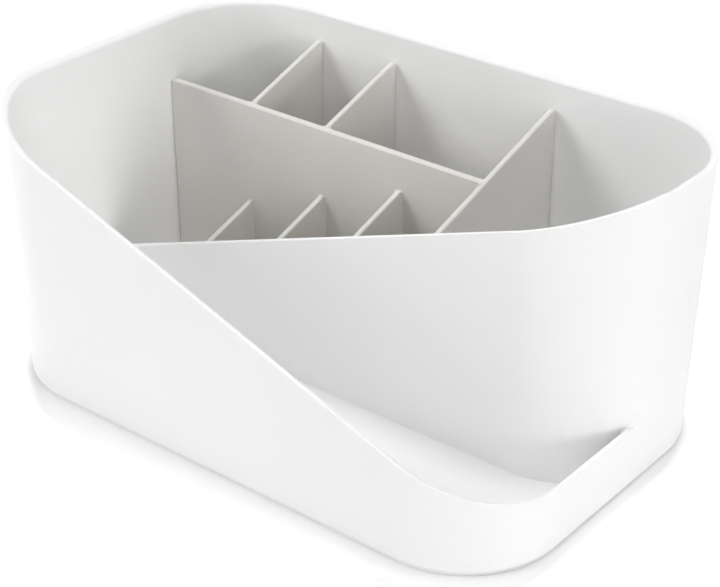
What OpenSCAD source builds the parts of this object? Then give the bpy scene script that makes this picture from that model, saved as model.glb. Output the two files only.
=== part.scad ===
// Desk and vanity organizer: a moulded tub whose front edge and inner wall slant in opposite
// directions and cross, with a lift-out divider and four foot pads.
// Millimetres, +Z up. The origin is on the table, under the middle of the tub.

/* [Tub] */
// Length over the rim, left to right
rim_length = 290; // [260:1:320]
// Width over the rim, front to back
rim_width = 187; // [170:1:210]
// Height of the rim above the table
tub_height = 134.4; // [115:0.1:150]
// Outward lean of every wall, in degrees
wall_draft = 1.53; // [0.5:0.01:2.5]
// Outside radius of the four corners at the table
corner_radius = 46; // [36:0.5:54]
// Thickness of the walls
wall = 3.5; // [2.5:0.1:4.5]
// Thickness of the floor
floor_thickness = 2.4; // [2:0.1:4]
// Rounding of the rim's inner edge, kept inside the wall
rim_inner_round = 2.9; // [1:0.1:3.5]
// Rounding of the rim's outer edge
rim_outer_round = 0.5; // [0.2:0.1:0.8]
// Rounding of the outer edge round the foot of the tub
foot_edge_round = 1.5; // [0.5:0.1:2.2]
// Rounding between the inside walls and the floor
floor_round = 1.5; // [0.5:0.1:3]

/* [Front tray] */
// Depth of the tray at its floor, from the front wall to the inner wall
tray_depth = 72; // [50:0.5:85]
// Height of the front edge at its low end, on the right
lip_height = 29.2; // [22:0.1:45]
// Height of the inner wall's edge at its low end, on the left
inner_low_height = 30.8; // [22:0.1:45]
// How far the slanted edges pass over the rim at their high end
edge_rise = 0.5; // [0.45:0.05:1]
// Radius of the inner wall's right corner at the table, on the tray side
inner_corner_radius = 43; // [34:0.5:50]
// Radius of the compartment's front left corner at the table
inner_left_radius = 8; // [4:0.5:16]
// Fillet in the tray, where the inner wall meets the left wall
tray_fillet = 4; // [1:0.5:8]
// Width of the slit beside the inner wall's right corner, where it ends
slit_width = 1.5; // [1:0.1:4]

/* [Divider insert] */
// Thickness of the long panel at its top edge
long_panel_thickness = 3.6; // [2.4:0.1:4.5]
// Thickness of the other panels at their top edge
panel = 2.7; // [2:0.1:3.5]
// Lean of each panel face, in degrees
panel_draft = 0.7; // [0.2:0.1:1]
// Rounding of the panels' top edges
panel_round = 0.8; // [0.3:0.1:0.95]
// Rounding of the corners where two panels meet
junction_round = 1.8; // [0.5:0.1:3]
// Rounding of the panels' free top corners
end_round = 1.8; // [0.5:0.1:4]
// Gap between the panel ends and the tub walls
insert_gap = 0.5; // [0.3:0.1:1.5]
// Gap between the insert and the tub floor
insert_seat = 0.1; // [0.05:0.05:0.5]
// Depth of the back row, from the back wall to the long panel's middle, at the rim
back_row_depth = 52.3; // [40:0.1:65]
// Height of the long panel's top edge above the table
long_panel_top = 103; // [85:0.5:112]
// Slope of the other panels' top edges, rising to the back, in degrees
panel_slope = 18.7; // [5:0.1:22]
// Spacing of the panels from left to right
panel_pitch = 45; // [36:0.5:48]
// Place of the full-depth cross panel, from the middle of the tub
cross_panel_x = 45; // [20:0.5:60]
// Height of the low panels at the long panel, above the slanted edge of the inner wall
low_panel_rise = 3.5; // [-8:0.5:6]

/* [Foot pads] */
// Diameter of a pad
pad_diameter = 12; // [8:0.5:16]
// How far the pads lift the tub off the table
pad_lift = 0.8; // [0.4:0.1:2]
// Depth of the recess that a pad sits in
pad_recess = 0.8; // [0.4:0.1:1.4]
// Gap round a pad in its recess
pad_gap = 0.2; // [0.1:0.05:0.5]
// Distance of the pads from the tub's sides at the table
pad_inset = 36; // [26:0.5:60]
// Rounding of a pad's lower edge
pad_round = 0.4; // [0.1:0.1:0.6]

/* [Hidden] */
$fn = 96;
arc_steps = 8;
overshoot = 20;

tub_white = [0.95, 0.95, 0.95];
insert_grey = [0.83, 0.82, 0.79];
pad_grey = [0.72, 0.72, 0.71];

// Walls lean outward by lean millimetres for each millimetre of height, so plan sizes are at z = 0.
// They are to the nearest hundredth, so that the straight runs and the corners meet exactly
lean = tan(wall_draft);
function hundredth(v) = round(100 * v) / 100;
half_length = hundredth(rim_length / 2 - lean * tub_height);
half_width = hundredth(rim_width / 2 - lean * tub_height);
floor_top = pad_lift + floor_thickness;
rim_round = min(rim_inner_round, wall - rim_outer_round - 0.1);

// The inner wall, with its tray side at inner_front
inner_front = -half_width + wall + tray_depth;
inner_axis_x = half_length - inner_corner_radius;
inner_axis_y = inner_front + inner_corner_radius;
// The slit beside the inner wall's right corner ends where it has narrowed to slit_width
slit_reach = inner_corner_radius - wall - slit_width;
slit_end = inner_axis_y - sqrt(pow(inner_corner_radius, 2) - pow(slit_reach, 2));
// The lip runs out where the inner corner meets the outer wall, just short of the tangent
lip_end = inner_axis_y - 2;

// Height of the slanted edges: the front one rises to the left and the inner wall's to the right
edge_top = tub_height + edge_rise;
function front_edge(x) = lip_height + (edge_top - lip_height) * (0.5 - x / rim_length);
function inner_edge(x) = inner_low_height + (edge_top - inner_low_height) * (0.5 + x / rim_length);

// Divider places
rim_back = rim_width / 2 - wall;
long_panel_y = rim_back - back_row_depth;
// The long panel's flat top, between its rounded edges. The sloping top edges start from these lines
flat_half = long_panel_thickness / 2 - panel_round;
flat_front = long_panel_y - flat_half;
flat_back = long_panel_y + flat_half;
// The upright fillets between panels end just below the long panel's top
fillet_drop = panel_round / 4;
low_panel_count = 3;
low_panel_xs = [for (i = [1:low_panel_count]) cross_panel_x - i * panel_pitch];
back_panel_xs = [for (i = [2:low_panel_count]) cross_panel_x - i * panel_pitch];
panel_depth = tub_height;
insert_bottom = floor_top + insert_seat;

function arc(centre, r, from, to) =
    [for (i = [0:arc_steps]) let (a = from + (to - from) * i / arc_steps) centre + r * [cos(a), sin(a)]];

// Distance of a rounding's centre from the corner axis, for a wall at radius r and a height z
function inside_wall(r, z, round) = r + lean * z - round / cos(wall_draft);

// Section of a solid body from a corner axis out to its leaning wall
function body_section(r, bottom, top, bottom_round, top_round) = concat(
    [[0, bottom]],
    arc([inside_wall(r, bottom + bottom_round, bottom_round), bottom + bottom_round],
        bottom_round, -90, -wall_draft),
    arc([inside_wall(r, top - top_round, top_round), top - top_round], top_round, -wall_draft, 90),
    [[0, top]]);

// Section of a hollow: rounded at the floor and flared over the rim's inner rounding
function hollow_section(r, bottom, top, bottom_round, flare) =
    let (flare_axis = r + lean * (top - flare) + flare / cos(wall_draft))
    concat(
        [[0, bottom]],
        arc([inside_wall(r, bottom + bottom_round, bottom_round), bottom + bottom_round],
            bottom_round, -90, -wall_draft),
        arc([flare_axis, top - flare], flare, 180 - wall_draft, 90),
        [[flare_axis, top + overshoot], [0, top + overshoot]]);

// Section of a plain leaning block that passes through the tub from below the table to above the rim
function through_section(r) =
    [[0, -overshoot], [r - lean * overshoot, -overshoot],
     [r + lean * (tub_height + overshoot), tub_height + overshoot], [0, tub_height + overshoot]];

// Rounded rectangle in plan, with leaning walls: a slab for each straight run and a quarter turn at
// each corner. Sizes are at z = 0, front_rs holds the left and the right front radius, and section(r)
// gives the section from an axis at distance r inside the wall
module rounded_body(half_x, front_y, back_y, front_rs, back_r, section) {
    front_r = max(front_rs);
    front_axis_y = front_y + front_r;
    back_axis_y = back_y - back_r;
    side = [for (p = section(back_r)) [p[0] + half_x - back_r, p[1]]];
    other_side = [for (i = [len(side) - 1:-1:0]) [-side[i][0], side[i][1]]];
    translate([0, back_axis_y, 0])
        rotate([90, 0, 0])
            linear_extrude(back_axis_y - front_axis_y)
                polygon(concat(side, other_side));
    translate([half_x - front_rs[1], front_axis_y, 0])
        rotate([90, 0, -90])
            linear_extrude(2 * half_x - front_rs[0] - front_rs[1])
                polygon(section(front_r));
    translate([back_r - half_x, back_axis_y, 0])
        rotate([90, 0, 90])
            linear_extrude(2 * (half_x - back_r))
                polygon(section(back_r));
    for (i = [0, 1]) {
        r = front_rs[i];
        mirror([i, 0, 0])
            translate([back_r - half_x, back_axis_y, 0])
                rotate([0, 0, 90])
                    rotate_extrude(angle = 90)
                        polygon(section(back_r));
        mirror([1 - i, 0, 0])
            translate([half_x - r, front_y + r, 0]) {
                rotate([0, 0, 270])
                    rotate_extrude(angle = 90)
                        polygon(section(r));
                // Beside a smaller radius the side's run goes on, and overlaps the front run by r
                if (r < front_r)
                    translate([0, front_r, 0])
                        rotate([90, 0, 0])
                            linear_extrude(front_r)
                                polygon([for (p = section(r)) [p[0] > 0 ? p[0] : -r, p[1]]]);
            }
    }
}

module tub_outside() {
    rounded_body(half_length, -half_width, half_width, [corner_radius, corner_radius], corner_radius,
        function(r) body_section(r, pad_lift, tub_height, foot_edge_round, rim_outer_round));
}

// Everything inside the outer walls, as if there were no inner wall
module whole_inside() {
    inside_r = corner_radius - wall;
    rounded_body(half_length - wall, wall - half_width, half_width - wall, [inside_r, inside_r], inside_r,
        function(r) hollow_section(r, floor_top, tub_height, floor_round, rim_round));
}

// The compartment behind the inner wall
module compartment() {
    rounded_body(half_length - wall, inner_front + wall, half_width - wall,
        [inner_left_radius, inner_corner_radius - wall], corner_radius - wall,
        function(r) hollow_section(r, floor_top, tub_height, floor_round, rim_round));
}

// All that lies behind the inner wall's tray side, as far back as its right corner's axis
module behind_inner_wall() {
    translate([inner_axis_x, inner_axis_y, 0]) {
        rotate([90, 0, -90])
            linear_extrude(inner_axis_x + rim_length)
                polygon(through_section(inner_corner_radius));
        rotate([0, 0, 270])
            rotate_extrude(angle = 90)
                polygon(through_section(inner_corner_radius));
    }
}

// All that lies above a slanted edge, given by its height at x, from the front as far as back_y
module above_edge(edge, back_y) {
    reach = rim_length / 2 + overshoot;
    top = tub_height + 2 * overshoot;
    translate([0, back_y, 0])
        rotate([90, 0, 0])
            linear_extrude(back_y + rim_width / 2 + overshoot)
                polygon([[-reach, edge(-reach)], [reach, edge(reach)], [reach, top], [-reach, top]]);
}

// The open tray: the inside in front of the inner wall, up to the end of the slit
module tray() {
    reach = rim_length / 2 + overshoot;
    difference() {
        intersection() {
            whole_inside();
            translate([-reach, -reach, 0])
                cube([2 * reach, reach + slit_end, tub_height + overshoot]);
        }
        behind_inner_wall();
    }
}

// What the front edge takes off the outer wall, outside the inner wall
module front_cut() {
    difference() {
        above_edge(function(x) front_edge(x), lip_end);
        behind_inner_wall();
    }
}

// What the inner edge takes off the inner wall, within the left wall
module inner_cut() {
    back_y = inner_axis_y + overshoot / 4;
    intersection() {
        above_edge(function(x) inner_edge(x), back_y);
        union() {
            whole_inside();
            translate([0, inner_front - 2 * wall, 0])
                cube([rim_length, back_y - inner_front + 2 * wall, tub_height + overshoot]);
        }
    }
}

module at_pad(side_x, side_y) {
    translate([side_x * (half_length - pad_inset), side_y * (half_width - pad_inset), 0])
        children();
}

// Fillet with its corner at the origin and its legs along +X and +Y, sunk by overlap into both walls
function fillet_section(r, overlap) =
    concat([[-overlap, -overlap], [r, -overlap]], arc([r, r], r, 270, 180), [[-overlap, r]]);

// Fillet between the left wall and the tray side of the inner wall, below the inner wall's edge
module tray_corner() {
    corner_x = wall - half_length;
    difference() {
        translate([corner_x, inner_front, 0])
            rotate([wall_draft, -wall_draft, 0])
                translate([0, 0, floor_top - floor_round])
                    linear_extrude(tub_height)
                        polygon([for (p = fillet_section(tray_fillet, wall / 2)) [p[0], -p[1]]]);
        above_edge(function(x) inner_edge(x), inner_axis_y);
    }
}

module tub() {
    color(tub_white) {
        difference() {
            tub_outside();
            compartment();
            tray();
            front_cut();
            inner_cut();
            for (side_x = [-1, 1], side_y = [-1, 1])
                at_pad(side_x, side_y)
                    cylinder(d = pad_diameter + 2 * pad_gap, h = pad_lift + pad_recess);
        }
        tray_corner();
    }
}

// Space that the insert may fill: the compartment, less the gap to its walls and floor
module insert_space() {
    inset = wall + insert_gap;
    rounded_body(half_length - inset, inner_front + inset, half_width - inset,
        [inner_left_radius - insert_gap, inner_corner_radius - inset], corner_radius - inset,
        function(r) body_section(r, insert_bottom, tub_height, floor_round + insert_gap, rim_outer_round));
}

// Upright section of a panel, hanging down from its rounded top edge at y = 0
function panel_section(thickness) =
    let (half_top = thickness / 2 + panel_round * tan(panel_draft) - panel_round / cos(panel_draft),
         half_bottom = thickness / 2 + panel_depth * tan(panel_draft))
    concat([[half_bottom, -panel_depth]],
        arc([half_top, -panel_round], panel_round, panel_draft, 90),
        arc([-half_top, -panel_round], panel_round, 90, 180 - panel_draft),
        [[-half_bottom, -panel_depth]]);

// Height of a low panel's top edge at the front of the long panel's flat top
function low_panel_top(x) = inner_edge(x) + low_panel_rise;

// Side outline of a sloping panel whose top edge passes through [start_y, top]. Its free ends, at the
// inner wall and the back wall, have rounded top corners. An end that isn't free is inside the long panel
function sloping_outline(start_y, top, front_free, back_free) =
    let (rise = tan(panel_slope),
         inset = wall + insert_gap,
         // Height of the rounding centres' line where y = 0
         base = top - rise * start_y - end_round / cos(panel_slope),
         aside = end_round / cos(wall_draft),
         front_y = (inner_front + inset - lean * base + aside) / (1 + lean * rise),
         back_y = (half_width - inset + lean * base - aside) / (1 - lean * rise),
         front_arc = arc([front_y, base + rise * front_y], end_round, 180 + wall_draft, 90 + panel_slope),
         back_arc = arc([back_y, base + rise * back_y], end_round, 90 + panel_slope, -wall_draft))
    concat(
        front_free ? concat([[inner_front + inset, 0]], front_arc) : [[start_y, 0], [start_y, top]],
        back_free ? concat(back_arc, [[half_width - inset, 0]]) : [[start_y, top], [start_y, 0]]);

// Panel that runs from front to back, its top edge rising to the back
module sloping_panel(x, start_y, top, front_free, back_free) {
    run = rim_width / cos(panel_slope);
    intersection() {
        translate([x, start_y, top])
            rotate([panel_slope, 0, 0])
                translate([0, -run, 0])
                    rotate([90, 0, 180])
                        linear_extrude(2 * run)
                            polygon(panel_section(panel));
        translate([x - panel_depth, 0, 0])
            rotate([90, 0, 90])
                linear_extrude(2 * panel_depth)
                    polygon(sloping_outline(start_y, top, front_free, back_free));
    }
}

// Panel along the tub, from the left wall to the cross panel, with its free top corner rounded
module long_panel() {
    reach = rim_length / 2;
    left_end = wall + insert_gap - half_length - lean * long_panel_top;
    difference() {
        translate([-reach, long_panel_y, long_panel_top])
            rotate([90, 0, 90])
                linear_extrude(reach + cross_panel_x)
                    polygon(panel_section(long_panel_thickness));
        translate([left_end, long_panel_y + panel_depth, long_panel_top - end_round])
            rotate([90, 0, 0])
                linear_extrude(2 * panel_depth)
                    polygon(concat([[-overshoot, 0]], arc([end_round, 0], end_round, 180, 90),
                                   [[end_round, overshoot], [-overshoot, overshoot]]));
    }
}

// Upright fillet between one face of the long panel and one face of a panel that meets it at x. The two
// faces lean away from it as they go up
module junction_fillet(x, side_x, side_y, top) {
    section = fillet_section(junction_round, panel / 3);
    translate([x + side_x * panel / 2, long_panel_y + side_y * long_panel_thickness / 2, top])
        rotate([side_y * panel_draft, -side_x * panel_draft, 0])
            translate([0, 0, insert_bottom - top])
                linear_extrude(top - insert_bottom)
                    polygon([for (p = section) [side_x * p[0], side_y * p[1]]]);
}

// Pair of fillets where a sloping panel meets one face of the long panel
module panel_junction(x, side_y, top) {
    for (side_x = [-1, 1])
        junction_fillet(x, side_x, side_y, top);
}

module divider_insert() {
    color(insert_grey)
        intersection() {
            insert_space();
            union() {
                long_panel();
                sloping_panel(cross_panel_x, flat_front, long_panel_top, true, true);
                for (x = back_panel_xs) {
                    sloping_panel(x, flat_back, long_panel_top, false, true);
                    panel_junction(x, 1, long_panel_top - fillet_drop);
                }
                for (x = low_panel_xs) {
                    sloping_panel(x, flat_front, low_panel_top(x), true, false);
                    panel_junction(x, -1, low_panel_top(x) - panel_round);
                }
                for (side_y = [-1, 1])
                    junction_fillet(cross_panel_x, -1, side_y, long_panel_top - fillet_drop);
            }
        }
}

module foot_pad(side_x, side_y) {
    radius = pad_diameter / 2;
    color(pad_grey)
        at_pad(side_x, side_y)
            rotate_extrude()
                polygon(concat([[0, 0]], arc([radius - pad_round, pad_round], pad_round, -90, 0),
                               [[radius, pad_lift + pad_recess], [0, pad_lift + pad_recess]]));
}

tub();
divider_insert();
foot_pad(-1, -1);  // foot_pad_front_left
foot_pad(1, -1);  // foot_pad_front_right
foot_pad(-1, 1);  // foot_pad_back_left
foot_pad(1, 1);  // foot_pad_back_right
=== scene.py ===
import math

import bmesh
import bpy
from mathutils import Matrix, Vector


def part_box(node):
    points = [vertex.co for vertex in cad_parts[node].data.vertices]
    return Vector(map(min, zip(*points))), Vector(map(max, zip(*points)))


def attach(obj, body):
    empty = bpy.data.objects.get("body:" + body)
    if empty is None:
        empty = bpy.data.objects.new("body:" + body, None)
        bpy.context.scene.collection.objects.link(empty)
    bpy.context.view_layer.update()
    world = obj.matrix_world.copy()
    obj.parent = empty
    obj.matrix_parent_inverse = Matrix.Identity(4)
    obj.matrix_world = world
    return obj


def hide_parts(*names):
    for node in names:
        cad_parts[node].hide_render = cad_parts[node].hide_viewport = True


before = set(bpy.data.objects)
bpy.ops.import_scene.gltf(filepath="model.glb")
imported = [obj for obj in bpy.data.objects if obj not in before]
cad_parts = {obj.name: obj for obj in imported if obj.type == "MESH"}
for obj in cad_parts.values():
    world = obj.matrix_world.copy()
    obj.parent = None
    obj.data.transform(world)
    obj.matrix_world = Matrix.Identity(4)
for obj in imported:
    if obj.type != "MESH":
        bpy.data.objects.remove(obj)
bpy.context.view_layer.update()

MM = 0.001

# The tub's sizes, measured at the foot where its walls start to lean outwards
HALF_LENGTH = 141.409 * MM
HALF_WIDTH = 89.909 * MM
CORNER_RADIUS = 46 * MM
WALL = 3.5 * MM
LEAN = math.tan(math.radians(1.53))
UNDERSIDE_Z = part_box("tub")[0].z
RIM_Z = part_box("tub")[1].z
FLOOR_THICKNESS = 2.4 * MM
FLOOR_Z = UNDERSIDE_Z + FLOOR_THICKNESS
RIM_HALF_LENGTH = HALF_LENGTH + LEAN * RIM_Z

# The tub's corners: side in x, side in y, and the angle at which the corner starts
BACK_RIGHT = (1, 1, 0)
BACK_LEFT = (-1, 1, 90)
FRONT_LEFT = (-1, -1, 180)
FRONT_RIGHT = (1, -1, 270)

# The inner wall between the front tray and the compartments
TRAY_DEPTH = 72 * MM
INNER_FRONT_Y = -HALF_WIDTH + WALL + TRAY_DEPTH
INNER_RADIUS = 43 * MM
INNER_AXIS = Vector((HALF_LENGTH - INNER_RADIUS, INNER_FRONT_Y + INNER_RADIUS))
LEFT_RADIUS = 8 * MM
TRAY_FILLET = 4 * MM

# The slit between the lip and the inner wall
SLIT_END_Y = 8.3 * MM
SLIT_LIP_LENGTH = 5 * MM
SLIT_FILLET_SHARE = 0.4

# Past the slit's end the lip turns into a shallow valley, which fades into the right wall
MERGE_LENGTH = 3 * MM
VALLEY_ROUND = 1.5 * MM
VALLEY_ROUND_SHARE = 0.4
VALLEY_DEPTH = 1.0 * MM
VALLEY_DEPTH_SHARE = 0.6
FADE_START_Y = 9.5 * MM
FADE_END_Y = 17.5 * MM
FADE_SLOPE = 4.0

# The two slanted edges, by their heights at the tub's two ends
LIP_Z = 29.2 * MM
INNER_LOW_Z = 30.8 * MM
EDGE_OVERRUN = 0.5 * MM
EDGE_HIGH_Z = RIM_Z + EDGE_OVERRUN
EDGE_PASSES = 6

# Roundings. The inner wall's tray side starts with its own and eases into the rim's
RIM_OUTER_ROUND = 0.5 * MM
RIM_INNER_ROUND = 2.9 * MM
INNER_EDGE_ROUND = 1.2 * MM
FOOT_ROUND = 1.5 * MM
FLOOR_ROUND = 1.5 * MM
INNER_FOOT_ROUND = 0.4 * MM

# Steps that the curves are drawn with
RIM_OUTER_STEPS = 3
RIM_INNER_STEPS = 8
BASE_STEPS = 6
VALLEY_STEPS = 4
CORNER_STEPS = 32
LEFT_END_STEPS = 12
INNER_CORNER_STEPS = 24
MERGE_STEPS = 36
SLIT_STEPS = 6
PAD_STEPS = 48

# Rows of one wall section: outer base, rim, inner base
BASE_ROWS = BASE_STEPS + 1
RIM_ROWS = RIM_OUTER_STEPS + RIM_INNER_STEPS + 2
OUTER_WALL_ROW = BASE_ROWS - 1
INNER_WALL_ROW = BASE_ROWS + RIM_ROWS - 1

WELD_DISTANCE = 0.002 * MM
SHARP_ANGLE = math.radians(38)

PADS = [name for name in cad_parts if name.startswith("foot_pad")]
PAD_GAP = 0.2 * MM

# Darkest and lightest shade of each material
WHITE_SHADES = ((0.945, 0.945, 0.943), (0.957, 0.957, 0.956))
GREY_SHADES = ((0.745, 0.727, 0.692), (0.773, 0.755, 0.720))
RUBBER_SHADES = ((0.70, 0.70, 0.69), (0.74, 0.74, 0.73))

# Noise: the band that most of it lies in, and the detail of each use
NOISE_BAND = (0.3, 0.7)
COLOUR_DETAIL = 3.0
GLOSS_DETAIL = 4.0
GRAIN_DETAIL = 2.0
# Size of the drift in gloss, as a share of the drift in colour
GLOSS_DRIFT = 0.6
GRAIN_STRENGTH = 0.5

# The ground that the tub stands on: its colour is darker in the band of shadow, as painted
# shadow, and its own pale colour is outside it
GROUND_HALF = 3.0
GROUND_PAINTED_SHADOW_SHADES = (0.88, 0.95)
FULL_WHITE = (1, 1, 1, 1)
# The band of shadow is the tub's outline, shorter and moved to the front right
BAND_SHIFT = (12 * MM, -15 * MM, 0)
BAND_INSET = 8 * MM
# Where it is seen, the ground is lifted towards white outside the band
BAND_REACH = (CORNER_RADIUS, CORNER_RADIUS + 12 * MM)
BAND_LIFT = (0.01, 0.6)
# Close to the tub's foot only a part of that is left, so a narrow shadow stays all round
FOOT_REACH = (CORNER_RADIUS, CORNER_RADIUS + 6 * MM)
FOOT_SHARE = (0.15, 1.0)
# Further out it is lifted more, as the lamps' light falls off
FAR_REACH = (CORNER_RADIUS + 60 * MM, 1.1)
FAR_LIFT = (0.0, 0.9)
# Light on the ground under the tub
FOOT_GLOW = 0.75
FOOT_GLOW_INSET = 0.8 * MM
FOOT_GLOW_Z = 0.05 * MM

# Lamps: name, place, size and power
LAMPS = [
    ("lamp_above", (0.22, -0.03, 1.75), 0.5, 14.8),
    ("lamp_key", (-1.0, -0.45, 1.25), 0.4, 1.8),
    ("lamp_left", (-1.6, 0.1, 0.8), 1.0, 4.4),
    ("lamp_left_front", (-1.1, -1.2, 0.8), 0.9, 12.5),
    ("lamp_right_front", (1.2, -1.2, 0.7), 1.0, 6.7),
    ("lamp_right", (1.6, -0.25, 0.26), 0.5, 8.0),
    ("lamp_back", (0.0, 1.6, 1.1), 1.2, 9.4),
]
LAMP_TARGET = Vector((0, 0, 0.06))


class Column:
    """One upright line of a wall face, which leans as it rises."""

    def __init__(self, base, air, lean):
        self.base = base
        self.air = air
        self.lean = lean

    def at(self, z, out=0.0):
        """The column's point at height z, moved out into the air by out."""
        plan = self.base + self.lean * (LEAN * z) + self.air * out
        return Vector((plan.x, plan.y, z))


def polar(degrees):
    angle = math.radians(degrees)
    return Vector((math.cos(angle), math.sin(angle)))


def spread(start, end, steps):
    return [start + (end - start) * i / steps for i in range(steps + 1)]


def smooth_step(t):
    t = max(0.0, min(1.0, t))
    return t * t * (3 - 2 * t)


def level_rim(x):
    """The back wall's edge is level."""
    return RIM_Z


def front_edge(x):
    """The front wall's edge falls from the left end to the lip."""
    return LIP_Z + (EDGE_HIGH_Z - LIP_Z) * (0.5 - 0.5 * x / RIM_HALF_LENGTH)


def inner_edge(x):
    """The inner wall's edge rises from the left end to the right wall."""
    return INNER_LOW_Z + (EDGE_HIGH_Z - INNER_LOW_Z) * (0.5 + 0.5 * x / RIM_HALF_LENGTH)


def top_of(column, edge):
    """Height at which a leaning column meets a slanted edge, closed in on in a few passes."""
    z = RIM_Z
    for _ in range(EDGE_PASSES):
        z = min(RIM_Z, edge(column.at(z).x))
    return z


def base_arc(column, level, radius, side):
    """Quarter round from a level up into a wall: side 1 fills the corner, -1 rounds it off."""
    points = []
    for angle in spread(0.0, math.pi / 2, BASE_STEPS):
        rise = radius * (1 - math.cos(angle))
        points.append(column.at(level + rise, side * radius * (1 - math.sin(angle))))
    return points


def foot_arc(column):
    return base_arc(column, UNDERSIDE_Z, FOOT_ROUND, -1)


def floor_arc(column, radius=FLOOR_ROUND):
    return base_arc(column, FLOOR_Z, radius, 1)


def round_over(near, far, top, radius, steps):
    """Quarter round from the near face up to the top of a wall."""
    points = []
    for angle in spread(0.0, math.pi / 2, steps):
        z = top - radius * (1 - math.sin(angle))
        start = near.at(z)
        across = (far.at(z) - start).normalized()
        points.append(start + across * (radius * (1 - math.cos(angle))))
    return points


def rim(outer, inner, top, outer_round=RIM_OUTER_ROUND):
    """Rounded top of a wall; what the outer rounding gains, the inner one loses."""
    inner_round = RIM_OUTER_ROUND + RIM_INNER_ROUND - outer_round
    outer_side = round_over(outer, inner, top, outer_round, RIM_OUTER_STEPS)
    inner_side = round_over(inner, outer, top, inner_round, RIM_INNER_STEPS)
    return outer_side + inner_side[::-1]


def wall_section(outer_base, rim_points, inner_base):
    """Points across a wall: up its outer face, over the rim and down its inner face."""
    return outer_base + rim_points + inner_base[::-1]


def corner_columns(axis, outer_radius, degrees):
    """Outer and inner columns of a wall that turns about an upright axis."""
    out = polar(degrees)
    outer = Column(axis + out * outer_radius, out, out)
    inner = Column(axis + out * (outer_radius - WALL), -out, out)
    return outer, inner


def ring_section(outer, inner, edge, fillet=FLOOR_ROUND):
    """Section of an outside wall of the tub."""
    top = top_of(outer, edge)
    return wall_section(foot_arc(outer), rim(outer, inner, top), floor_arc(inner, fillet))


def corner_axis(side_x, side_y):
    """The upright axis that a corner of the tub turns about."""
    return Vector((side_x * (HALF_LENGTH - CORNER_RADIUS), side_y * (HALF_WIDTH - CORNER_RADIUS)))


def ring_corner(corner, edge):
    """Sections round one outer corner of the tub."""
    side_x, side_y, first_angle = corner
    axis = corner_axis(side_x, side_y)
    sections = []
    for degrees in spread(first_angle, first_angle + 90, CORNER_STEPS):
        outer, inner = corner_columns(axis, CORNER_RADIUS, degrees)
        sections.append(ring_section(outer, inner, edge))
    return sections


def right_columns(y):
    """Columns of the straight right wall."""
    outward = Vector((1, 0))
    outer = Column(Vector((HALF_LENGTH, y)), outward, outward)
    inner = Column(Vector((HALF_LENGTH - WALL, y)), -outward, outward)
    return outer, inner


def tray_fillet_at(y):
    """Floor fillet of the tray, smaller where the slit between lip and inner wall closes."""
    if y <= INNER_FRONT_Y:
        return FLOOR_ROUND
    reach = math.sqrt(INNER_RADIUS ** 2 - (INNER_AXIS.y - y) ** 2)
    gap = HALF_LENGTH - WALL - INNER_AXIS.x - reach
    return min(FLOOR_ROUND, SLIT_FILLET_SHARE * gap)


def lip_sections():
    """The low lip along the right side, up to the end of the slit."""
    sections = []
    for y in spread(SLIT_END_Y - SLIT_LIP_LENGTH, SLIT_END_Y, SLIT_STEPS):
        outer, inner = right_columns(y)
        sections.append(ring_section(outer, inner, front_edge, tray_fillet_at(y)))
    return sections


def tray_end_column(share):
    """Tray face of the inner wall near the left wall: a small fillet, then straight."""
    fillet_length = TRAY_FILLET * math.pi / 2
    straight_length = LEFT_RADIUS - TRAY_FILLET
    centre = Vector((-(HALF_LENGTH - WALL) + TRAY_FILLET, INNER_FRONT_Y - TRAY_FILLET))
    along = share * (fillet_length + straight_length)
    if along < fillet_length:
        out = polar(180 - 90 * along / fillet_length)
        return Column(centre + out * TRAY_FILLET, -out, Vector((-1, -1)))
    base = Vector((centre.x + along - fillet_length, INNER_FRONT_Y))
    return Column(base, Vector((0, -1)), Vector((0, -1)))


def compartment_end_column(share):
    """Compartment face of the inner wall where it curves into the left wall."""
    axis_x = -(HALF_LENGTH - WALL - LEFT_RADIUS)
    axis_y = INNER_FRONT_Y + WALL + LEFT_RADIUS
    out = polar(180 + 90 * share)
    return Column(Vector((axis_x, axis_y)) + out * LEFT_RADIUS, -out, out)


def inner_edge_round(x):
    """Rounding of the inner wall's tray side, which gets smaller towards the corner."""
    share = smooth_step((x + HALF_LENGTH) / (INNER_AXIS.x + HALF_LENGTH))
    return INNER_EDGE_ROUND + (RIM_OUTER_ROUND - INNER_EDGE_ROUND) * share


def inner_section(outer, inner):
    """Section of the inner wall, from the tray over its edge to the compartments."""
    top = top_of(outer, inner_edge)
    edge_round = inner_edge_round(outer.base.x)
    fillet = min(INNER_FOOT_ROUND, tray_fillet_at(outer.base.y))
    rim_points = rim(outer, inner, top, edge_round)
    return wall_section(floor_arc(outer, fillet), rim_points, floor_arc(inner))


def slit_end_angle():
    """Angle round the inner corner at which the slit ends."""
    radius = INNER_RADIUS + LEAN * LIP_Z
    return 360 + math.degrees(math.asin((SLIT_END_Y - INNER_AXIS.y) / radius))


def inner_wall_sections():
    """The inner wall from the left wall to the end of the slit."""
    sections = []
    for share in spread(0.0, 1.0, LEFT_END_STEPS):
        sections.append(inner_section(tray_end_column(share), compartment_end_column(share)))
    for degrees in spread(270, slit_end_angle(), INNER_CORNER_STEPS):
        sections.append(inner_section(*corner_columns(INNER_AXIS, INNER_RADIUS, degrees)))
    return sections


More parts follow.
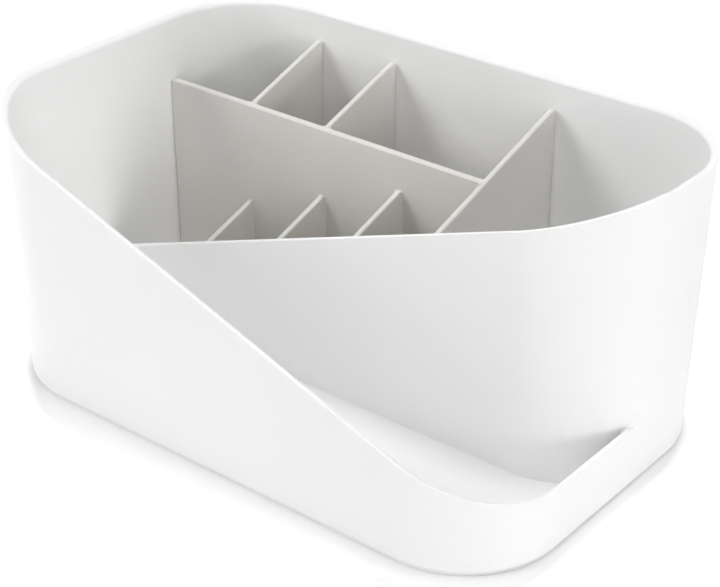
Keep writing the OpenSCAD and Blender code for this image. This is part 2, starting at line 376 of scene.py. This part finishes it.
def lip_rows(outer, lip_top, reach, depth, merged):
    """The lip's rim where it narrows to nothing against the inner wall."""
    flat_start = RIM_OUTER_ROUND / WALL
    inner_start = (WALL - RIM_INNER_ROUND) / WALL
    rows = []
    for angle in spread(0.0, math.pi / 2, RIM_OUTER_STEPS):
        across = flat_start * (1 - math.cos(angle))
        drop = depth * RIM_OUTER_ROUND / RIM_INNER_ROUND * (1 - math.sin(angle))
        rows.append((across, drop))
    for angle in spread(math.pi / 2, 0.0, RIM_INNER_STEPS):
        across = 1 - (1 - inner_start) * (1 - math.cos(angle))
        turn = (across - inner_start) / (1 - inner_start)
        round_drop = depth * (1 - math.sin(angle))
        wave_drop = depth * (1 - math.cos(math.pi * turn)) / 2
        rows.append((across, round_drop + merged * (wave_drop - round_drop)))
    points = []
    for across, drop in rows:
        points.append(outer.at(lip_top - drop, -across * reach))
    return points


def valley_rows(rim_end, inner_wall, rise):
    """From the lip's inner edge across to the inner wall's face."""
    points = []
    for angle in spread(0.0, math.pi / 2, VALLEY_STEPS):
        z = rim_end.z + rise * (1 - math.cos(angle))
        target = inner_wall.at(z)
        point = rim_end.lerp(target, math.sin(angle))
        points.append(Vector((point.x, point.y, z)))
    return points


def fade_rows(lip_outer, wall_outer, lip_top, width, count):
    """A gentle slope from the lip's outer face up into the inner wall's face."""
    half = FADE_SLOPE * width
    points = []
    for share in spread(0.0, 1.0, count - 1):
        z = lip_top + half * (2 * share - 1)
        points.append(lip_outer.at(z).lerp(wall_outer.at(z), smooth_step(share)))
    return points


def merge_section(degrees):
    """Section past the slit's end, where the lip merges into the right wall."""
    wall_outer, wall_inner = corner_columns(INNER_AXIS, INNER_RADIUS, degrees)
    y = wall_outer.at(LIP_Z).y
    lip_outer, _ = right_columns(y)
    lip_top = top_of(lip_outer, front_edge)
    width = max(0.0, lip_outer.at(lip_top).x - wall_outer.at(lip_top).x)
    merged = smooth_step((y - SLIT_END_Y) / MERGE_LENGTH)
    full_depth = RIM_INNER_ROUND + (VALLEY_DEPTH - RIM_INNER_ROUND) * merged
    depth = min(full_depth, VALLEY_DEPTH_SHARE * width)
    rise = merged * min(VALLEY_ROUND, VALLEY_ROUND_SHARE * width)
    reach = (1 - merged) * min(WALL, width) + merged * (width - rise)
    lip = lip_rows(lip_outer, lip_top, reach, depth, merged)
    sharp = lip + valley_rows(lip[-1], wall_outer, rise)[1:]
    soft = fade_rows(lip_outer, wall_outer, lip_top, width, len(sharp))
    fade = smooth_step((y - FADE_START_Y) / (FADE_END_Y - FADE_START_Y))
    ledge = [a.lerp(b, fade) for a, b in zip(sharp, soft)]
    wall = rim(wall_outer, wall_inner, top_of(wall_outer, inner_edge))
    return foot_arc(lip_outer) + ledge + wall + floor_arc(wall_inner)[::-1]


def merge_sections():
    return [merge_section(degrees) for degrees in spread(slit_end_angle(), 360, MERGE_STEPS)]


def add_face(mesh, points):
    mesh.faces.new([mesh.verts.new(point) for point in points])


def bridge(mesh, first, second, rows=None):
    """Quads between two sections, row by row."""
    for row in rows or range(len(first) - 1):
        add_face(mesh, [first[row], first[row + 1], second[row + 1], second[row]])


def bridge_all(mesh, sections):
    for first, second in zip(sections, sections[1:]):
        bridge(mesh, first, second)


def rows_but(left_out):
    """All rows of a wall section except one."""
    return [row for row in range(2 * BASE_ROWS + RIM_ROWS - 1) if row != left_out]


def add_left_wall_face(mesh, back, front, end):
    """Inner face of the left wall, with a notch where the inner wall runs into it."""
    top, base = INNER_WALL_ROW, INNER_WALL_ROW + 1
    outline = [back[top], back[base], end[base]]
    outline += end[BASE_ROWS:INNER_WALL_ROW + 1][::-1]
    outline += [end[OUTER_WALL_ROW], front[base], front[top]]
    add_face(mesh, outline)
    bridge(mesh, back[base:], end[base:])
    bridge(mesh, front[base:][::-1], end[:BASE_ROWS])


def add_slit_end(mesh, merge_start, lip_end, wall_before, wall_end):
    """The upright end of the slit, and the strip of inner wall that meets it."""
    valley = merge_start[INNER_WALL_ROW:INNER_WALL_ROW + VALLEY_STEPS + 1]
    lip_base = lip_end[INNER_WALL_ROW + 1:][::-1]
    wall_base = wall_end[:BASE_ROWS]
    add_face(mesh, valley + wall_base[::-1] + lip_base)
    strip = [wall_before[OUTER_WALL_ROW], wall_before[BASE_ROWS], wall_end[BASE_ROWS]]
    add_face(mesh, strip + [valley[-1], wall_end[OUTER_WALL_ROW]])


def add_right_wall_face(mesh, merge_end, back):
    """Outer face of the right wall behind the point where the lip merges into it."""
    foot = merge_end[OUTER_WALL_ROW]
    lip = merge_end[BASE_ROWS]
    rim_start = merge_end[BASE_ROWS + RIM_ROWS + VALLEY_STEPS]
    add_face(mesh, [foot, lip, rim_start, back[BASE_ROWS], back[OUTER_WALL_ROW]])


def pad_circle(name, z):
    """Ring of points round a foot pad, a small gap away from it."""
    low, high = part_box(name)
    centre = (low + high) / 2
    radius = (high.x - low.x) / 2 + PAD_GAP
    points = []
    for degrees in spread(0, 360, PAD_STEPS)[:-1]:
        plan = polar(degrees) * radius
        points.append(Vector((centre.x + plan.x, centre.y + plan.y, z)))
    return points


def add_pad_recess(mesh, name):
    """Recess that holds a foot pad; returns its edge in the underside."""
    foot = pad_circle(name, UNDERSIDE_Z)
    roof = pad_circle(name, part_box(name)[1].z)
    for i in range(PAD_STEPS):
        add_face(mesh, [foot[i - 1], foot[i], roof[i], roof[i - 1]])
    add_face(mesh, roof)
    return foot


def add_underside(mesh, outline):
    """Flat underside with a round recess over each foot pad."""
    edges = []
    for loop in [outline] + [add_pad_recess(mesh, name) for name in PADS]:
        verts = [mesh.verts.new(point) for point in loop]
        edges += [mesh.edges.new((verts[i - 1], verts[i])) for i in range(len(verts))]
    bmesh.ops.triangle_fill(mesh, edges=edges, use_beauty=True)


def build_tub_mesh():
    """The tub as one closed skin, section by section round its walls."""
    mesh = bmesh.new()
    back_right = ring_corner(BACK_RIGHT, level_rim)
    back_left = ring_corner(BACK_LEFT, level_rim)
    front_left = ring_corner(FRONT_LEFT, front_edge)
    front_right = ring_corner(FRONT_RIGHT, front_edge)
    lip = lip_sections()
    inner = inner_wall_sections()
    merge = merge_sections()

    right_end = merge[-1][:BASE_ROWS] + merge[-1][BASE_ROWS + RIM_ROWS + VALLEY_STEPS:]
    bridge(mesh, right_end, back_right[0], rows_but(OUTER_WALL_ROW))
    add_right_wall_face(mesh, merge[-1], back_right[0])
    bridge_all(mesh, back_right + back_left)
    bridge(mesh, back_left[-1], front_left[0], range(INNER_WALL_ROW))
    add_left_wall_face(mesh, back_left[-1], front_left[0], inner[0])
    bridge_all(mesh, front_left + front_right + lip)
    bridge_all(mesh, inner[:-1])
    bridge(mesh, inner[-2], inner[-1], rows_but(OUTER_WALL_ROW))
    add_slit_end(mesh, merge[0], lip[-1], inner[-2], inner[-1])
    bridge_all(mesh, merge)

    compartment = inner + merge[1:] + back_right + back_left
    add_face(mesh, [section[-1] for section in compartment])
    tray_front = front_left + front_right + lip
    tray = [section[0] for section in inner] + [section[-1] for section in tray_front[::-1]]
    add_face(mesh, tray)
    ring = back_right + back_left + tray_front + merge[1:]
    add_underside(mesh, [section[0] for section in ring])
    return mesh


def add_object(mesh, name):
    """Put a finished mesh into the scene."""
    data = bpy.data.meshes.new(name)
    mesh.to_mesh(data)
    mesh.free()
    item = bpy.data.objects.new(name, data)
    bpy.context.scene.collection.objects.link(item)
    return item


def finish_mesh(mesh, name):
    """Weld the skin, turn its faces outwards and shade it smooth between sharp edges."""
    bmesh.ops.remove_doubles(mesh, verts=mesh.verts, dist=WELD_DISTANCE)
    bmesh.ops.recalc_face_normals(mesh, faces=mesh.faces)
    for face in mesh.faces:
        face.smooth = True
    for edge in mesh.edges:
        edge.smooth = edge.calc_face_angle(0.0) < SHARP_ANGLE
    piece = add_object(mesh, name)
    normals = piece.modifiers.new("even_shading", "WEIGHTED_NORMAL")
    normals.keep_sharp = True
    return piece


def new_material(name):
    material = bpy.data.materials.new(name)
    material.use_nodes = True
    return material


def add_node(tree, kind, **sockets):
    """New node with values for its sockets, whose names have _ for a space."""
    node = tree.nodes.new(kind)
    for name, value in sockets.items():
        node.inputs[name.replace("_", " ")].default_value = value
    return node


def noise(tree, place, size, detail):
    """Noise whose features are about size across."""
    node = add_node(tree, "ShaderNodeTexNoise", Scale=1 / size, Detail=detail)
    tree.links.new(place.outputs["Object"], node.inputs["Vector"])
    return node.outputs["Fac"]


def ramp(tree, factor, shades):
    """Colour that drifts between two shades with a noise."""
    node = tree.nodes.new("ShaderNodeValToRGB")
    for element, position, shade in zip(node.color_ramp.elements, NOISE_BAND, shades):
        element.position = position
        element.color = (*shade, 1)
    tree.links.new(factor, node.inputs["Fac"])
    return node.outputs["Color"]


def map_range(tree, value, reach, levels):
    """A level that runs from the first to the second while value runs over its reach."""
    node = add_node(tree, "ShaderNodeMapRange", From_Min=reach[0], From_Max=reach[1])
    node.inputs["To Min"].default_value, node.inputs["To Max"].default_value = levels
    tree.links.new(value, node.inputs["Value"])
    return node.outputs["Result"]


def calculate(tree, operation, first, second):
    node = tree.nodes.new("ShaderNodeMath")
    node.operation = operation
    tree.links.new(first, node.inputs[0])
    tree.links.new(second, node.inputs[1])
    return node.outputs["Value"]


def vector_step(tree, operation, vector, other=(0, 0, 0)):
    node = tree.nodes.new("ShaderNodeVectorMath")
    node.operation = operation
    tree.links.new(vector, node.inputs[0])
    node.inputs[1].default_value = other
    return node.outputs


def moulded_material(name, shades, roughness, specular, mottle, grain, grain_depth):
    """Moulded surface: faint drift of colour and gloss, and a fine eroded grain."""
    material = new_material(name)
    tree = material.node_tree
    shader = tree.nodes["Principled BSDF"]
    place = tree.nodes.new("ShaderNodeTexCoord")
    colour = ramp(tree, noise(tree, place, mottle, COLOUR_DETAIL), shades)
    gloss_noise = noise(tree, place, GLOSS_DRIFT * mottle, GLOSS_DETAIL)
    gloss = map_range(tree, gloss_noise, NOISE_BAND, roughness)
    bump = add_node(tree, "ShaderNodeBump", Strength=GRAIN_STRENGTH, Distance=grain_depth)
    tree.links.new(noise(tree, place, grain, GRAIN_DETAIL), bump.inputs["Height"])
    tree.links.new(colour, shader.inputs["Base Color"])
    tree.links.new(gloss, shader.inputs["Roughness"])
    tree.links.new(bump.outputs["Normal"], shader.inputs["Normal"])
    shader.inputs["Specular IOR Level"].default_value = specular
    return material


def dress(piece, material):
    piece.data.materials.clear()
    piece.data.materials.append(material)


def seen_directly(tree):
    """1 for camera, mirror and see-through rays, 0 for the rays that light the object."""
    path = tree.nodes.new("ShaderNodeLightPath")
    total = path.outputs["Is Camera Ray"]
    for name in ("Is Glossy Ray", "Is Transmission Ray"):
        total = calculate(tree, "MAXIMUM", total, path.outputs[name])
    return total


def distance_from_tub(tree, shift, inset):
    """Distance on the ground from the rectangle between the axes of the tub's corners."""
    place = tree.nodes.new("ShaderNodeTexCoord").outputs["Object"]
    core = (HALF_LENGTH - CORNER_RADIUS - inset, HALF_WIDTH - CORNER_RADIUS, 0)
    moved = vector_step(tree, "SUBTRACT", place, shift)["Vector"]
    folded = vector_step(tree, "ABSOLUTE", moved)["Vector"]
    past = vector_step(tree, "SUBTRACT", folded, core)["Vector"]
    outside = vector_step(tree, "MAXIMUM", past)["Vector"]
    return vector_step(tree, "LENGTH", outside)["Value"]


def ground_lift(tree):
    """How much the ground is lifted towards white where it is seen."""
    from_foot = distance_from_tub(tree, (0, 0, 0), 0)
    from_band = distance_from_tub(tree, BAND_SHIFT, BAND_INSET)
    share = map_range(tree, from_foot, FOOT_REACH, FOOT_SHARE)
    near = map_range(tree, from_band, BAND_REACH, BAND_LIFT)
    far = map_range(tree, from_band, FAR_REACH, FAR_LIFT)
    amount = calculate(tree, "ADD", calculate(tree, "MULTIPLY", near, share), far)
    return calculate(tree, "MULTIPLY", amount, seen_directly(tree))


def show_only(tree, shader):
    """Let a shader stand in for the one that a new material comes with."""
    tree.nodes.remove(tree.nodes["Principled BSDF"])
    tree.links.new(shader, tree.nodes["Material Output"].inputs["Surface"])


def ground_material():
    material = new_material("floor_white")
    tree = material.node_tree
    paint = tree.nodes.new("ShaderNodeBsdfDiffuse")
    from_band = distance_from_tub(tree, BAND_SHIFT, BAND_INSET)
    # Painted shadow: the ground's colour runs from the darker shade in the band round the tub to
    # its own shade outside it
    shade = map_range(tree, from_band, BAND_REACH, GROUND_PAINTED_SHADOW_SHADES)
    tree.links.new(shade, paint.inputs["Color"])
    lift = add_node(tree, "ShaderNodeEmission", Color=FULL_WHITE)
    tree.links.new(ground_lift(tree), lift.inputs["Strength"])
    both = tree.nodes.new("ShaderNodeAddShader")
    tree.links.new(paint.outputs["BSDF"], both.inputs[0])
    tree.links.new(lift.outputs["Emission"], both.inputs[1])
    show_only(tree, both.outputs["Shader"])
    return material


def glow_material():
    material = new_material("foot_glow")
    tree = material.node_tree
    glow = add_node(tree, "ShaderNodeEmission", Color=FULL_WHITE, Strength=FOOT_GLOW)
    show_only(tree, glow.outputs["Emission"])
    return material


def add_sheet(name, outline, material):
    """A flat sheet of the stage."""
    mesh = bmesh.new()
    add_face(mesh, outline)
    sheet = add_object(mesh, name)
    sheet.data.materials.append(material)


def add_ground():
    """Pale ground: seen white, with the tub's soft shadow kept and deepened by painted shadow in
    a band round it.
    """
    half = GROUND_HALF
    corners = [(-half, -half, 0), (half, -half, 0), (half, half, 0), (-half, half, 0)]
    add_sheet("floor", [Vector(corner) for corner in corners], ground_material())


def add_foot_glow():
    """Faint light on the ground under the tub, which softens the dark line at its foot."""
    outline = []
    for side_x, side_y, first_angle in (BACK_RIGHT, BACK_LEFT, FRONT_LEFT, FRONT_RIGHT):
        axis = corner_axis(side_x, side_y)
        for degrees in spread(first_angle, first_angle + 90, CORNER_STEPS):
            plan = axis + polar(degrees) * (CORNER_RADIUS - FOOT_GLOW_INSET)
            outline.append(Vector((plan.x, plan.y, FOOT_GLOW_Z)))
    add_sheet("foot_glow", outline, glow_material())


def set_world():
    """Plain white where it is seen or mirrored; it sheds no other light on the object."""
    world = bpy.data.worlds.new("studio")
    world.use_nodes = True
    tree = world.node_tree
    background = tree.nodes["Background"]
    background.inputs["Color"].default_value = FULL_WHITE
    tree.links.new(seen_directly(tree), background.inputs["Strength"])
    bpy.context.scene.world = world


def add_lamp(name, place, size, power):
    """A square soft lamp that faces the middle of the tub."""
    data = bpy.data.lights.new(name, "AREA")
    data.shape = "SQUARE"
    data.size = size
    data.energy = power
    lamp = bpy.data.objects.new(name, data)
    lamp.location = place
    aim = LAMP_TARGET - Vector(place)
    lamp.rotation_euler = aim.to_track_quat("-Z", "Y").to_euler()
    bpy.context.scene.collection.objects.link(lamp)


def add_camera():
    """The photograph's view, solved from the tub's straight edges and corners."""
    azimuth = math.radians(38.706)
    elevation = math.radians(29.133)
    roll = math.radians(0.095)
    target = Vector((-0.782, 8.870, 44.377)) * MM
    distance = 824.34 * MM
    focal_pixels = 1835.03
    image_width = 720
    back = Vector((
        math.sin(azimuth) * math.cos(elevation),
        -math.cos(azimuth) * math.cos(elevation),
        math.sin(elevation),
    ))
    level = Vector((math.cos(azimuth), math.sin(azimuth), 0))
    upright = back.cross(level)
    right = level * math.cos(roll) + upright * math.sin(roll)
    up = upright * math.cos(roll) - level * math.sin(roll)
    data = bpy.data.cameras.new("camera")
    data.sensor_width = 36
    data.lens = data.sensor_width * focal_pixels / image_width
    data.clip_start = 0.01
    camera = bpy.data.objects.new("camera", data)
    turn = Matrix((right, up, back)).transposed().to_4x4()
    camera.matrix_world = Matrix.Translation(target + back * distance) @ turn
    bpy.context.scene.collection.objects.link(camera)
    bpy.context.scene.camera = camera


white_plastic = moulded_material(
    "tub_white", WHITE_SHADES, roughness=(0.42, 0.52), specular=0.25,
    mottle=40 * MM, grain=0.35 * MM, grain_depth=0.01 * MM,
)
grey_plastic = moulded_material(
    "insert_grey", GREY_SHADES, roughness=(0.42, 0.54), specular=0.35,
    mottle=30 * MM, grain=0.35 * MM, grain_depth=0.012 * MM,
)
rubber = moulded_material(
    "pad_rubber", RUBBER_SHADES, roughness=(0.75, 0.9), specular=0.25,
    mottle=4 * MM, grain=0.25 * MM, grain_depth=0.03 * MM,
)

tub_shell = finish_mesh(build_tub_mesh(), "tub_shell")
dress(tub_shell, white_plastic)
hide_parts("tub")
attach(tub_shell, "tub")
dress(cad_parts["divider_insert"], grey_plastic)
for pad in PADS:
    dress(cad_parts[pad], rubber)

add_ground()
add_foot_glow()
set_world()
for lamp in LAMPS:
    add_lamp(*lamp)
add_camera()
bpy.context.scene.view_settings.view_transform = "Standard"
